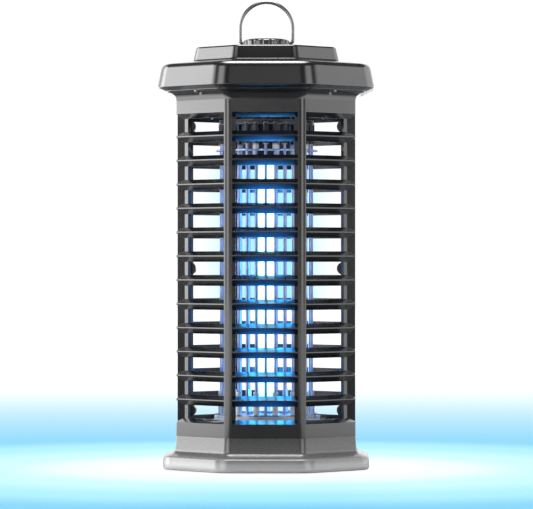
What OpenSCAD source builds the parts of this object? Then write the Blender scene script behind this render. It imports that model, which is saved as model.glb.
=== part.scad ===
// Electric bug zapper: an octagonal lantern with a louvred cage, a high-voltage wire grid
// round a twin-tube lamp, a roof that holds the electronics, and a pull-off collection tray.
// Millimetres, +Z up, origin at the bottom centre under the feet. The front faces -Y.

/* [Cage] */
// Half the distance across the flats of the cage
cage_half = 70.2; // [58:0.1:86]
// Height of the seam between the tray and the cage
seam_z = 27.2; // [24:0.1:32]
// Height of the plain band at the foot of the cage
lower_band = 10; // [9:0.1:14]
// Distance from one louvre to the next
louvre_pitch = 18.67; // [15.5:0.01:22.5]
// Number of window rows from the sill to the neck
window_rows = 13; // [11:1:16]
// Wall of the bands
band_wall = 3.2; // [2.4:0.1:4]
// Depth of a louvre from its nose to its back edge
louvre_depth = 6.6; // [6:0.1:8]
// Thickness of the corner ribs behind the louvres
rib_wall = 3; // [2:0.1:4]
// Width of the mullion on each side face
mullion_w = 11; // [9:0.5:14]
// Corner radius of the four pillars
pillar_r = 9; // [7:0.5:11]
// Corner radius of the four side corners
side_corner_r = 2.5; // [1.5:0.5:5]

/* [Roof] */
// How far the eaves stand out past the cage
eaves = 14.8; // [11:0.1:18]
// Height of the plain neck under the eaves
neck_h = 9.1; // [7:0.1:12]
// Radius of the cove under the eaves
cove_r = 7; // [5:0.1:9]
// Height of the fascia
fascia_h = 17.3; // [15:0.1:21]
// How far the fascia leans in from bottom to top
fascia_lean = 3; // [1:0.1:5]
// Half the distance across the flats of the crown tier
crown_half = 57; // [48:0.5:60]
// Height of the crown tier
crown_h = 10.6; // [9:0.1:13]
// Wall of the roof shell
roof_wall = 2.6; // [2:0.1:3.5]

/* [Bail] */
// Diameter of the bail wire
bail_wire = 2.8; // [2.3:0.1:3.4]
// Width of the bail between wire centres
bail_w = 41.5; // [41:0.5:50]
// Length of the straight legs of the bail
bail_leg = 11.5; // [9:0.5:14]
// Radius of the hub at its foot
hub_r = 18.2; // [15:0.1:18.5]
// Height of the hub
hub_h = 7.5; // [6.5:0.1:9]

/* [Grid and lamp] */
// Radius of the circle of grid wires
grid_r = 36; // [33:0.5:40]
// Diameter of a grid wire
grid_wire = 2.2; // [1.8:0.1:2.6]
// Number of wires in each of the two sets
set_count = 15; // [12:1:18]
// Diameter of a lamp tube
tube_d = 12.4; // [10.4:0.1:13]
// Distance between the centres of the two lamp tubes
tube_gap = 14.8; // [14:0.1:16]

/* [Tray] */
// How far the skirt stands out past the cage
skirt_out = 10.8; // [8:0.1:13]
// Height of the skirt
skirt_h = 11.8; // [10:0.1:14]
// Wall of the tray
tray_wall = 2.6; // [2:0.1:3.2]
// Gap between the tray's spigot and the cage
spigot_gap = 0.35; // [0.3:0.05:0.5]

/* [Hidden] */
$fn = 64;

arc_steps = 5;
tiny = 0.05;
fit_gap = 0.3;
pin_gap = 0.05;

// Louvre section about its nose: half the nose, the soffit's drop and the sill's rise.
nose = 0.5;
soffit_drop = 4.5;
sill_rise = 3.7;
louvre_back = cage_half - louvre_depth;
window_h = louvre_pitch - soffit_drop - sill_rise;

// Heights up the lantern.
sill_z = seam_z + lower_band;
neck_z = sill_z + louvre_pitch * window_rows;
ledge_z = neck_z + 3.1;
deck_t = 2;
deck_z = ledge_z + deck_t;
cove_z = neck_z + neck_h;
cove_top = cove_z + cove_r;
flange_top = cove_top + 3.5;
roof_half = cage_half + eaves;
fascia_top = flange_top + fascia_h;
crown_z = fascia_top + 4.7;
crown_top = crown_z + crown_h;

// The window whose middle a boss sits in, counted up from the sill.
boss_rows = [0, floor(window_rows / 2), window_rows - 1];
function window_mid(row) = sill_z + louvre_pitch * row + sill_rise + window_h / 2;
boss_r = window_h / 2 - 0.235;
boss_x = louvre_back - rib_wall;
boss_l = 9;

// Screws.
screw_r = 1.5;
screw_bore = screw_r + 0.1;
pilot_bore = screw_r + tiny;
head_r = 2.8;
head_h = 1.8;

// Flank of a pillar: where its rounded corner runs into the flat face.
face_half = cage_half * tan(22.5);
flank = face_half - pillar_r * tan(22.5);
post_w = 2.5;

// Bail.
wire_r = bail_wire / 2;
pivot_z = crown_top + 4.5;
bail_x = bail_w / 2;
bail_bend = 2;
pin_in = 12.5;
arch_z = pivot_z + bail_leg;

// Hanging parts, measured down from the deck and up from the sill.
holder_r = 19.8;
holder_wall = 2.5;
holder_low = ledge_z - 37;
base_top = holder_low + 17;
flange_low = ledge_z - 11.5;
flange_t = 3.5;
flange_in = 20.4;
flange_out = grid_r + 1.5;
live_z = ledge_z - 32.5;
ring_t = 1.2;
ring_in = grid_r - 2.6;
ring_out = grid_r + 2.4;
peg_r = 2.2;
wire_gr = grid_wire / 2;
step = 360 / set_count;
lug_z = sill_z - soffit_drop;
lug_t = 2.3;
arm_z = lug_z + lug_t;
arm_t = 3.5;
arm_reach = louvre_back - rib_wall - 7;
lower_ring_z = arm_z + arm_t;
return_z = lower_ring_z + 4;
lower_peg_top = return_z + 19;
wire_depth = 3;
tube_low = return_z + 8;
tube_r = tube_d / 2;
glass = 0.9;
column_at = flange_in + 7;
holder_screw = 12;
return_top = live_z + 8;
live_stub = 2.5;
notch_r = 3.4;
lobe_r = notch_r + 1.4;
pin_y = 11.5;
pin_r = 1.2;
pin_h = 7;

// Leads, and the two points where the grid's leads come down through the deck.
lead_r = 1.1;
live_drop = (grid_r + lobe_r + lead_r) * [cos(54), sin(54)];
return_drop = (louvre_back - 1) * [cos(67.5), sin(67.5)];

// Roof inside.
roof_boss = (cage_half + 4.3) * sqrt(0.5);
roof_boss_r = 4;
ledge_screw = (louvre_back - rib_wall + 3) * sqrt(0.5);
board_z = deck_z + 6;
board_t = 1.6;
board_top = board_z + board_t;
board_w = 70;
board_d = 50;
board_y = 9;
gland_z = flange_top + fascia_h / 2;
gland_bore = 3.1;
gland_face = roof_half - 1.4;

// Tray.
skirt_half = cage_half + skirt_out;
tray_floor = 4.5;
floor_t = 2.5;
foot_r = 6;
foot_at = cage_half * 0.6;
skirt_low = 0.8;
spigot_h = 4.3;
spigot_half = cage_half - band_wall - spigot_gap;

// One corner of a rounded octagon as points on its arc; corners 1, 2, 5 and 6 are the pillars.
function corner(i, a, r, n) =
    [for (k = [0:n])
        let (mid = 22.5 + 45 * i, c = (a - r) / cos(22.5), t = mid - 22.5 + 45 * k / n)
        [c * cos(mid) + r * cos(t), c * sin(mid) + r * sin(t)]];
function is_pillar(i) = i % 4 == 1 || i % 4 == 2;
function octagon(a, rp, rs) =
    [for (i = [0:7]) for (p = corner(i, a, is_pillar(i) ? rp : rs, arc_steps)) p];

// A solid through octagon sections, each [half across flats, pillar radius, side radius, height].
module loft(sections) {
    n = 8 * (arc_steps + 1);
    last = len(sections) - 1;
    points = [for (s = sections) for (p = octagon(s[0], s[1], s[2])) [p[0], p[1], s[3]]];
    walls = [for (i = [0:last - 1]) for (j = [0:n - 1])
        let (k = (j + 1) % n)
        [i * n + j, (i + 1) * n + j, (i + 1) * n + k, i * n + k]];
    foot = [for (j = [0:n - 1]) j];
    head = [for (j = [n - 1:-1:0]) last * n + j];
    polyhedron(points, concat([foot], walls, [head]));
}

module octa_prism(a, rp, rs, z0, z1) {
    translate([0, 0, z0]) linear_extrude(z1 - z0) polygon(octagon(a, rp, rs));
}

// A tube of sides sides along a list of points.
module sweep(path, r, sides) {
    last = len(path) - 1;
    dirs = [for (i = [0:last])
        let (d = path[min(i + 1, last)] - path[max(i - 1, 0)]) d / norm(d)];
    points = [for (i = [0:last])
        let (d = dirs[i],
             ref = abs(d[2]) > 0.9 ? [1, 0, 0] : [0, 0, 1],
             u = cross(ref, d) / norm(cross(ref, d)),
             v = cross(d, u))
        for (k = [0:sides - 1])
            path[i] + r * (cos(360 * k / sides) * u + sin(360 * k / sides) * v)];
    walls = [for (i = [0:last - 1]) for (j = [0:sides - 1])
        let (k = (j + 1) % sides)
        [i * sides + j, (i + 1) * sides + j, (i + 1) * sides + k, i * sides + k]];
    foot = [for (j = [0:sides - 1]) j];
    head = [for (j = [sides - 1:-1:0]) last * sides + j];
    polyhedron(points, concat([foot], walls, [head]));
}

// A screw pointing down, its head resting at the origin.
module screw(length) {
    rotate_extrude()
        polygon([[0, -length], [screw_r - 0.6, -length], [screw_r, -length + 1.2], [screw_r, 0],
            [head_r, 0], [head_r, head_h * 0.5], [head_r * 0.7, head_h], [0, head_h]]);
}

module drive_slot() {
    for (turn = [0, 90])
        rotate([0, 0, turn])
            translate([-1.6, -0.35, head_h - 0.9]) cube([3.2, 0.7, 1]);
}

module pan_screw(length) {
    difference() {
        screw(length);
        drive_slot();
    }
}

// The louvre's section: distance from the axis and height about the nose.
louvre_section = [
    [louvre_back, -soffit_drop], [louvre_back + 1.4, -soffit_drop], [cage_half, -nose],
    [cage_half, nose], [louvre_back + 1, sill_rise], [louvre_back, sill_rise]];

// The sill's slope and the neck's soffit, rooted inside their bands.
brink = 0.3;
slope_back = louvre_back - 0.4;
sill_slope = (sill_rise - nose) / (louvre_depth - 1);
soffit_slope = (soffit_drop - nose) / (louvre_depth - 1.4);
sill_section = [
    [slope_back, -1], [cage_half - brink, -1], [cage_half - brink, nose + brink * sill_slope],
    [louvre_back + 1, sill_rise], [slope_back, sill_rise]];
soffit_section = [
    [slope_back, -soffit_drop], [louvre_back + 1.4, -soffit_drop],
    [cage_half - brink, -nose - brink * soffit_slope], [cage_half - brink, 1], [slope_back, 1]];

// A section carried through stations, each [facing, along, lean]: the angle the face's outward
// normal points to, the distance along the face, and 1 or -1 where the end is on the mitre plane.
module section_run(section, stations, z) {
    n = len(section);
    last = len(stations) - 1;
    points = [for (t = stations) for (s = section)
        let (along = t[1] + t[2] * s[0] * tan(22.5))
        [s[0] * cos(t[0]) - along * sin(t[0]), s[0] * sin(t[0]) + along * cos(t[0]), z + s[1]]];
    caps = [[for (j = [n - 1:-1:0]) j], [for (j = [0:n - 1]) last * n + j]];
    walls = [for (i = [0:last - 1]) for (j = [0:n - 1])
        let (k = (j + 1) % n)
        [i * n + j, i * n + k, (i + 1) * n + k, (i + 1) * n + j]];
    polyhedron(points, concat(caps, walls));
}

// The louvres of one level on the front half, stopping at the posts and just short of each mitre.
module front_level(z) {
    side = mullion_w / 2;
    section_run(louvre_section, [[-90, -flank, 0], [-90, flank, 0]], z);
    section_run(louvre_section, [[-45, -flank, 0], [-45, -tiny, 1]], z);
    section_run(louvre_section, [[-135, tiny, -1], [-135, flank, 0]], z);
    section_run(louvre_section, [[0, tiny, -1], [0, -side, 0]], z);
    section_run(louvre_section, [[180, side, 0], [180, -tiny, 1]], z);
}

// A slope that is part of the frame, in one run round each side corner and into the posts.
module front_slopes(section, z) {
    end = flank + 0.4;
    side = mullion_w / 2 - 0.4;
    section_run(section, [[-90, -end, 0], [-90, end, 0]], z);
    section_run(section, [[-45, -end, 0], [-45, 0, 1], [0, -side, 0]], z);
    section_run(section, [[180, side, 0], [180, 0, 1], [225, end, 0]], z);
}

// A pillar at corner i, 5 or 6: the rounded corner and its wedge back into the rib behind it.
module front_pillar(i, z0, z1) {
    deep = louvre_back - 0.5;
    mid = 22.5 + 45 * i;
    arc = corner(i, cage_half, pillar_r, arc_steps);
    inner = [for (side = [1, -1])
        let (f = mid + 22.5 * side, along = -side * flank)
        [deep * cos(f) - along * sin(f), deep * sin(f) + along * cos(f)]];
    translate([0, 0, z0]) linear_extrude(z1 - z0) polygon(concat(arc, inner));
    rib(i, z0, z1);
}

// A chevron rib inside corner i, behind the louvres.
module rib(i, z0, z1) {
    mid = 22.5 + 45 * i;
    a1 = louvre_back;
    a0 = louvre_back - rib_wall + 0.2;
    w1 = a1 * tan(22.5);
    w0 = a0 * tan(22.5);
    edge = w0 - post_w;
    translate([0, 0, z0]) linear_extrude(z1 - z0)
        rotate(mid - 22.5)
            polygon(concat(
                [[a0, edge], [a1, edge], [a1, w1]],
                [[a1 * cos(45) + edge * sin(45), a1 * sin(45) - edge * cos(45)],
                 [a0 * cos(45) + edge * sin(45), a0 * sin(45) - edge * cos(45)],
                 [a0, w0]]));
}

// The front half of the cage's frame, without its bosses and holes.
module half_frame() {
    post_low = sill_z + nose;
    post_high = neck_z - nose;
    inner = cage_half - band_wall;
    inner_r = pillar_r - band_wall;
    back = louvre_back - rib_wall;
    // Bands, cut to the front half.
    intersection() {
        union() {
            difference() {
                octa_prism(cage_half, pillar_r, side_corner_r, seam_z, post_low);
                octa_prism(inner, inner_r, 1, seam_z - 1, lug_z);
                octa_prism(back, 2, 1, seam_z - 1, post_low + 1);
            }
            difference() {
                loft(concat(
                    [[cage_half, pillar_r, side_corner_r, post_high]],
                    [for (k = [0:arc_steps])
                        let (t = 90 * k / arc_steps, out = cove_r * (1 - cos(t)))
                        [cage_half + out, pillar_r + out, side_corner_r + out,
                                cove_z + cove_r * sin(t)]],
                    [[cage_half + cove_r + 1.5, pillar_r + 9, pillar_r + 9, cove_top + 1],
                     [cage_half + cove_r + 1.5, pillar_r + 9, pillar_r + 9, flange_top]]));
                octa_prism(back, 2, 1, post_high - 1, ledge_z + 1);
                octa_prism(inner, inner_r, 1, ledge_z, flange_top + 1);
            }
        }
        translate([-150, -150, 0]) cube([300, 150, flange_top + 1]);
    }
    // Slopes of the sill and of the neck's lower edge.
    front_slopes(sill_section, sill_z);
    front_slopes(soffit_section, neck_z);
    // Pillars, side ribs and half mullions.
    front_pillar(5, post_low, post_high);
    front_pillar(6, post_low, post_high);
    rib(7, post_low, post_high);
    rib(4, post_low, post_high);
    for (side = [0, 1])
        mirror([side, 0, 0])
            translate([back, -mullion_w / 2, post_low])
                cube([cage_half - back, mullion_w / 2, post_high - post_low]);
    // Lugs that carry the lower insulator.
    for (side = [0, 1])
        mirror([side, 0, 0])
            rotate([0, 0, -45])
                translate([arm_reach - 5, -6, lug_z])
                    cube([back + 1 - arm_reach + 5, 12, lug_t]);
}

module lug_holes() {
    for (turn = [-45, -135])
        rotate([0, 0, turn])
            translate([arm_reach, 0, lug_z - 1]) cylinder(h = lug_t + 2, r = screw_bore);
}

module roof_screw_holes() {
    for (side = [-1, 1])
        translate([side * roof_boss, -roof_boss, 0]) {
            translate([0, 0, cove_z - 1]) cylinder(h = 30, r = screw_bore);
            translate([0, 0, cove_z - 10]) cylinder(h = cove_top + 0.8 - cove_z + 10, r = head_r + 0.6);
        }
}

module ledge_holes() {
    for (side = [-1, 1])
        translate([side * ledge_screw, -ledge_screw, ledge_z - 6]) cylinder(h = 8, r = pilot_bore);
}

module front_frame() {
    color([0.06, 0.06, 0.07]) difference() {
        union() {
            half_frame();
            for (side = [-1, 1], row = boss_rows)
                translate([side * boss_x, -boss_l, window_mid(row)])
                    rotate([-90, 0, 0]) cylinder(h = boss_l, r = boss_r);
        }
        for (side = [-1, 1], row = boss_rows)
            translate([side * boss_x, -boss_l + 1.5, window_mid(row)])
                rotate([-90, 0, 0]) cylinder(h = boss_l, r = pilot_bore);
        lug_holes();
        ledge_holes();
        roof_screw_holes();
    }
}

module rear_frame() {
    color([0.06, 0.06, 0.07]) difference() {
        union() {
            mirror([0, 1, 0]) half_frame();
            for (side = [-1, 1], row = boss_rows)
                translate([side * boss_x, 0, window_mid(row)])
                    rotate([-90, 0, 0]) cylinder(h = boss_l, r = boss_r);
        }
        for (side = [-1, 1], row = boss_rows)
            translate([side * boss_x, 0, window_mid(row)]) rotate([-90, 0, 0]) {
                translate([0, 0, -1]) cylinder(h = boss_l + 2, r = screw_bore);
                translate([0, 0, boss_l - 2.2]) cylinder(h = 4, r = head_r + 0.2);
            }
        mirror([0, 1, 0]) lug_holes();
        mirror([0, 1, 0]) ledge_holes();
        mirror([0, 1, 0]) roof_screw_holes();
    }
}

module front_louvres() {
    color([0.07, 0.07, 0.08])
        for (level = [1:window_rows - 1])
            front_level(sill_z + louvre_pitch * level);
}

module rear_louvres() {
    color([0.07, 0.07, 0.08]) mirror([0, 1, 0])
        for (level = [1:window_rows - 1])
            front_level(sill_z + louvre_pitch * level);
}

module cage_screws() {
    color([0.6, 0.6, 0.62])
        for (side = [-1, 1], row = boss_rows)
            translate([side * boss_x, boss_l - 2.2, window_mid(row)])
                rotate([-90, 0, 0]) pan_screw(13);
}

module roof_shell() {
    w = roof_wall;
    top_half = roof_half - fascia_lean;
    color([0.06, 0.06, 0.07]) difference() {
        union() {
            difference() {
                loft([
                    [cage_half + 8.8, 17.5, 17.5, flange_top - 2.2],
                    [roof_half - 0.9, 21.5, 21.5, flange_top - 0.1],
                    [roof_half - 0.2, 22, 22, flange_top + 0.2],
                    [roof_half, 22, 22, flange_top + 0.9],
                    [top_half + 0.4, 21, 21, fascia_top - 3.2],
                    [top_half - 0.3, 20.5, 20.5, fascia_top - 1],
                    [top_half - 1.5, 20, 20, fascia_top + 0.5],
                    [top_half - 3.2, 19, 19, fascia_top + 1.4],
                    [top_half - 5, 18, 18, fascia_top + 1.8],
                    [crown_half + 0.8, 10.8, 10.8, crown_z - 0.3],
                    [crown_half, 10, 10, crown_z + 0.5],
                    [crown_half - 1.9, 9.5, 9.5, crown_top - 1.6],
                    [crown_half - 2.4, 9, 9, crown_top - 0.5],
                    [crown_half - 3.6, 8.5, 8.5, crown_top]]);
                loft([
                    [cage_half + 8.8, 17.5, 17.5, flange_top - 3],
                    [cage_half + 8.8, 17.5, 17.5, flange_top + 0.5],
                    [roof_half - w - 0.2, 19, 19, flange_top + 1.8],
                    [top_half - w + 0.3, 18, 18, fascia_top - 3.4],
                    [top_half - w - 2.8, 16, 16, fascia_top - 1.2],
                    [crown_half - w, 8, 8, crown_z - w],
                    [crown_half - w - 2, 7.5, 7.5, crown_top - w - 1]]);
            }
            // Screw bosses down to the flange.
            for (x = [-1, 1], y = [-1, 1])
                translate([x * roof_boss, y * roof_boss, flange_top])
                    cylinder(h = fascia_top - flange_top, r = roof_boss_r);
            // Pad for the cord gland.
            translate([0, gland_face, gland_z]) rotate([90, 0, 0]) cylinder(h = 6, r = 7.5);
        }
        for (x = [-1, 1], y = [-1, 1])
            translate([x * roof_boss, y * roof_boss, flange_top - 1])
                cylinder(h = 11, r = pilot_bore);
        translate([0, gland_face + 1, gland_z]) rotate([90, 0, 0]) cylinder(h = 9, r = gland_bore + 1.4);
        // Spot face for the gland's flange.
        translate([0, gland_face + 3, gland_z]) rotate([90, 0, 0]) cylinder(h = 3, r = 7);
        for (side = [-1, 1])
            translate([0, side * 9, crown_top - 8]) cylinder(h = 12, r = screw_bore);
    }
}

module roof_screws() {
    color([0.6, 0.6, 0.62])
        for (x = [-1, 1], y = [-1, 1])
            translate([x * roof_boss, y * roof_boss, cove_top + 0.8])
                rotate([180, 0, 0]) pan_screw(11);
}

module cord_gland() {
    neck = gland_bore + 1.4;
    color([0.05, 0.05, 0.05])
        translate([0, gland_face - 8, gland_z]) rotate([-90, 0, 0])
            rotate_extrude()
                polygon([[gland_bore, 0], [neck, 0], [neck + 0.9, 1.2], [neck + 0.9, 2],
                    [neck, 2], [neck, 8], [neck + 2, 8], [neck + 2, 8.7], [neck + 1.3, 9.4],
                    [gland_bore, 9.4]]);
}

module hanger_hub() {
    flutes = 16;
    color([0.07, 0.07, 0.08]) difference() {
        translate([0, 0, crown_top]) rotate_extrude()
            polygon([[0, 0], [hub_r, 0], [hub_r, hub_h - 1.9], [hub_r - 0.6, hub_h - 1.2],
                [hub_r - 2.8, hub_h], [0, hub_h]]);
        for (i = [0:flutes - 1])
            rotate([0, 0, 360 / flutes * (i + 0.5)])
                translate([hub_r + 1.1, 0, crown_top - 1]) cylinder(h = hub_h + 2, r = 2);
        for (turn = [0, 180])
            rotate([0, 0, turn]) translate([pin_in - 0.5, 0, pivot_z])
                rotate([0, 90, 0]) cylinder(h = hub_r, r = wire_r + pin_gap);
        for (side = [-1, 1])
            translate([0, side * 9, crown_top - 1]) cylinder(h = hub_h - 1.5, r = pilot_bore);
    }
}

module hub_screws() {
    color([0.6, 0.6, 0.62])
        for (side = [-1, 1])
            translate([0, side * 9, crown_top - roof_wall - 1]) rotate([180, 0, 0]) pan_screw(8.6);
}

module bail_handle() {
    color([0.35, 0.36, 0.38]) {
        translate([0, 0, arch_z]) rotate([90, 0, 0])
            rotate_extrude(angle = 180) translate([bail_x, 0]) circle(r = wire_r);
        for (side = [0, 1]) mirror([side, 0, 0]) {
            translate([bail_x, 0, pivot_z + bail_bend])
                cylinder(h = arch_z - pivot_z - bail_bend, r = wire_r);
            translate([bail_x - bail_bend, 0, pivot_z + bail_bend]) rotate([90, 0, 0])
                rotate_extrude(angle = -90) translate([bail_bend, 0]) circle(r = wire_r);
            translate([pin_in, 0, pivot_z]) rotate([0, 90, 0])
                cylinder(h = bail_x - bail_bend - pin_in, r = wire_r);
        }
    }
}

module deck_plate() {
    edge = cage_half - band_wall - fit_gap;
    color([0.1, 0.1, 0.11]) difference() {
        octa_prism(edge, pillar_r - band_wall, 1.2, ledge_z, deck_z);
        for (x = [-1, 1], y = [-1, 1])
            translate([x * ledge_screw, y * ledge_screw, ledge_z - 1])
                cylinder(h = deck_t + 2, r = screw_bore);
        for (turn = [0:90:270])
            rotate([0, 0, turn]) translate([column_at, 0, ledge_z - 1])
                cylinder(h = deck_t + 2, r = screw_bore);
        for (side = [-1, 1])
            translate([side * holder_screw, 0, ledge_z - 1]) cylinder(h = deck_t + 2, r = screw_bore);
        for (side = [-1, 1])
            translate([side * 4, -13, ledge_z - 1]) cylinder(h = deck_t + 2, r = lead_r + 0.5);
        for (p = [live_drop, return_drop])
            translate([p[0], p[1], ledge_z - 1]) cylinder(h = deck_t + 2, r = lead_r + 0.5);
    }
}

module deck_screws() {
    color([0.6, 0.6, 0.62])
        for (x = [-1, 1], y = [-1, 1])
            translate([x * ledge_screw, y * ledge_screw, deck_z]) pan_screw(7);
}

// White insulator under the deck: flange on four columns, eight ribs round the holder, and pegs.
module upper_insulator() {
    color([0.92, 0.93, 0.95]) difference() {
        union() {
            translate([0, 0, flange_low]) difference() {
                cylinder(h = flange_t, r = flange_out);
                translate([0, 0, -1]) cylinder(h = flange_t + 2, r = flange_in);
            }
            for (turn = [0:90:270])
                rotate([0, 0, turn]) translate([column_at, 0, flange_low + flange_t - tiny])
                    cylinder(h = ledge_z - flange_low - flange_t + tiny, r = 3.4);
            for (i = [0:7])
                rotate([0, 0, 22.5 + 45 * i]) translate([flange_in + 0.8, -1.3, holder_low])
                    cube([3, 2.6, flange_low - holder_low + 1]);
            for (i = [0:set_count - 1])
                rotate([0, 0, -90 + step * i]) translate([grid_r, 0, return_top - wire_depth])
                    cylinder(h = flange_low - return_top + wire_depth + 1, r = peg_r);
            for (i = [0:2:set_count - 1])
                rotate([0, 0, -90 + step * (i + 0.5)]) translate([grid_r, 0, live_z + ring_t])
                    cylinder(h = flange_low - live_z - ring_t + 1, r = peg_r);
        }
        for (i = [0:set_count - 1])
            rotate([0, 0, -90 + step * i]) translate([grid_r, 0, return_top - wire_depth - 1])
                cylinder(h = wire_depth + 1, r = wire_gr + tiny);
        for (i = [0:2:set_count - 1])
            rotate([0, 0, -90 + step * (i + 0.5)]) translate([grid_r, 0, live_z])
                cylinder(h = live_stub + ring_t + 0.5, r = wire_gr + tiny);
        for (turn = [0:90:270])
            rotate([0, 0, turn]) translate([column_at, 0, flange_low - 1])
                cylinder(h = 30, r = pilot_bore);
    }
}

module insulator_screws() {
    color([0.6, 0.6, 0.62])
        for (turn = [0:90:270])
            rotate([0, 0, turn]) translate([column_at, 0, deck_z]) pan_screw(9);
}

// Black shroud that takes the lamp's base from below.
module lamp_holder() {
    color([0.05, 0.05, 0.06]) difference() {
        translate([0, 0, holder_low]) cylinder(h = ledge_z - holder_low, r = holder_r);
        translate([0, 0, holder_low - 1])
            cylinder(h = base_top - holder_low + 1 + fit_gap, r = holder_r - holder_wall);
        for (side = [-1, 1]) {
            translate([0, side * pin_y, base_top]) cylinder(h = pin_h + 0.6, r = pin_r + pin_gap);
            translate([side * holder_screw, 0, ledge_z - 7]) cylinder(h = 8, r = pilot_bore);
            translate([side * 4, -13, ledge_z - 4]) cylinder(h = 5, r = lead_r + 0.1);
        }
    }
}

module lamp_holder_screws() {
    color([0.6, 0.6, 0.62])
        for (side = [-1, 1])
            translate([side * holder_screw, 0, deck_z]) pan_screw(8);
}

module lamp_base() {
    half = tube_gap / 2;
    color([0.9, 0.9, 0.92]) difference() {
        translate([0, 0, base_top - 15]) linear_extrude(15) union() {
            square([2 * tube_r + 2.4, tube_gap], center = true);
            for (side = [-1, 1])
                translate([0, side * half]) circle(r = tube_r + 1.2);
        }
        for (side = [-1, 1])
            translate([0, side * half, base_top - 16]) cylinder(h = 12, r = tube_r + tiny);
    }
}

module lamp_pins() {
    color([0.75, 0.6, 0.3])
        for (side = [-1, 1])
            translate([0, side * pin_y, base_top]) cylinder(h = pin_h, r = pin_r);
}

module tube(r, low, high) {
    n = 8;
    dome = [for (k = [0:n]) [r * sin(90 * k / n), low + r * (1 - cos(90 * k / n))]];
    rotate_extrude() polygon(concat(dome, [[r, high], [0, high]]));
}

// Two glass tubes with domed lower ends, joined by a short bridge near those ends.
module lamp_tubes() {
    high = base_top - 4.2;
    half = tube_gap / 2;
    color([0.75, 0.95, 1]) difference() {
        union() {
            for (side = [-1, 1])
                translate([0, side * half, 0]) tube(tube_r, tube_low, high);
            translate([0, -half, tube_low + 14]) rotate([-90, 0, 0]) cylinder(h = tube_gap, r = 3.2);
        }
        for (side = [-1, 1])
            translate([0, side * half, 0]) tube(tube_r - glass, tube_low + glass, high + 1);
    }
}

// A flat steel ring, scalloped round each wire or peg of the other set.
module grid_ring(z, phase) {
    translate([0, 0, z]) linear_extrude(ring_t) difference() {
        union() {
            difference() {
                circle(r = ring_out);
                circle(r = ring_in);
            }
            for (i = [0:set_count - 1])
                rotate(-90 + step * (i + phase + 0.5)) translate([grid_r, 0]) circle(r = lobe_r);
        }
        for (i = [0:set_count - 1]) {
            rotate(-90 + step * (i + phase + 0.5)) translate([grid_r, 0]) circle(r = notch_r);
            rotate(-90 + step * (i + phase)) translate([grid_r, 0]) circle(r = wire_gr);
        }
    }
}

module live_ring() {
    color([0.75, 0.76, 0.8]) grid_ring(live_z, 0.5);
}

module live_wires() {
    color([0.75, 0.76, 0.8])
        for (i = [0:set_count - 1])
            rotate([0, 0, -90 + step * (i + 0.5)])
                translate([grid_r, 0, lower_peg_top - wire_depth])
                    cylinder(h = live_z + ring_t + (i % 2 == 0 ? live_stub : 0)
                        - lower_peg_top + wire_depth, r = wire_gr);
}

module return_ring() {
    color([0.75, 0.76, 0.8]) grid_ring(return_z, 0);
}

module return_wires() {
    color([0.75, 0.76, 0.8])
        for (i = [0:set_count - 1])
            rotate([0, 0, -90 + step * i]) translate([grid_r, 0, return_z])
                cylinder(h = return_top - return_z, r = wire_gr);
}

// White ring on four arms, with a peg under each hanging wire.
module lower_insulator() {
    color([0.9, 0.95, 1]) difference() {
        union() {
            translate([0, 0, lower_ring_z - arm_t]) difference() {
                cylinder(h = return_z - lower_ring_z + arm_t, r = ring_out + 0.6);
                translate([0, 0, -1]) cylinder(h = 40, r = ring_in);
            }
            for (i = [0:set_count - 1])
                rotate([0, 0, -90 + step * (i + 0.5)]) translate([grid_r, 0, return_z - 1])
                    cylinder(h = lower_peg_top - return_z + 1, r = peg_r);
            for (turn = [45:90:315])
                rotate([0, 0, turn]) {
                    translate([ring_out - 1, -4, arm_z]) cube([arm_reach - ring_out + 1, 8, arm_t]);
                    translate([arm_reach, 0, arm_z]) cylinder(h = arm_t + 2, r = 4.6);
                }
        }
        for (i = [0:set_count - 1])
            rotate([0, 0, -90 + step * (i + 0.5)])
                translate([grid_r, 0, lower_peg_top - wire_depth - 0.3])
                    cylinder(h = wire_depth + 1, r = wire_gr + tiny);
        for (turn = [45:90:315])
            rotate([0, 0, turn]) translate([arm_reach, 0, arm_z - 1])
                cylinder(h = arm_t + 1.8, r = pilot_bore);
    }
}

module lower_insulator_screws() {
    color([0.6, 0.6, 0.62])
        for (turn = [45:90:315])
            rotate([0, 0, turn]) translate([arm_reach, 0, lug_z]) rotate([180, 0, 0]) pan_screw(6);
}

module at_board(x, y) {
    translate([x, board_y + y, board_top]) children();
}

module circuit_board() {
    color([0.1, 0.35, 0.18]) difference() {
        translate([-board_w / 2, board_y - board_d / 2, board_z]) cube([board_w, board_d, board_t]);
        for (x = [-1, 1], y = [-1, 1])
            translate([x * (board_w / 2 - 4), board_y + y * (board_d / 2 - 4), board_z - 1])
                cylinder(h = board_t + 2, r = 1.6);
    }
}

module board_standoffs() {
    color([0.85, 0.85, 0.8])
        for (x = [-1, 1], y = [-1, 1])
            translate([x * (board_w / 2 - 4), board_y + y * (board_d / 2 - 4), deck_z])
                rotate_extrude()
                    polygon([[0, 0], [3, 0], [3, board_z - deck_z], [1.5, board_z - deck_z],
                        [1.5, board_top - deck_z], [2.2, board_top - deck_z],
                        [1, board_top - deck_z + 2.2], [0, board_top - deck_z + 2.2]]);
}

module transformer_core() {
    color([0.15, 0.15, 0.16]) at_board(17, 8) wound_frame(26, 14, 19);
}

// A frame with two windows and a middle leg.
module wound_frame(w, d, h) {
    leg = 4.4;
    window_w = (w - 3 * leg) / 2;
    difference() {
        translate([-w / 2, -d / 2, 0]) cube([w, d, h]);
        for (side = [-1, 1])
            translate([side * (leg + window_w) / 2 - window_w / 2, -d / 2 - 1, leg])
                cube([window_w, d + 2, h - 2 * leg]);
    }
}

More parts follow.
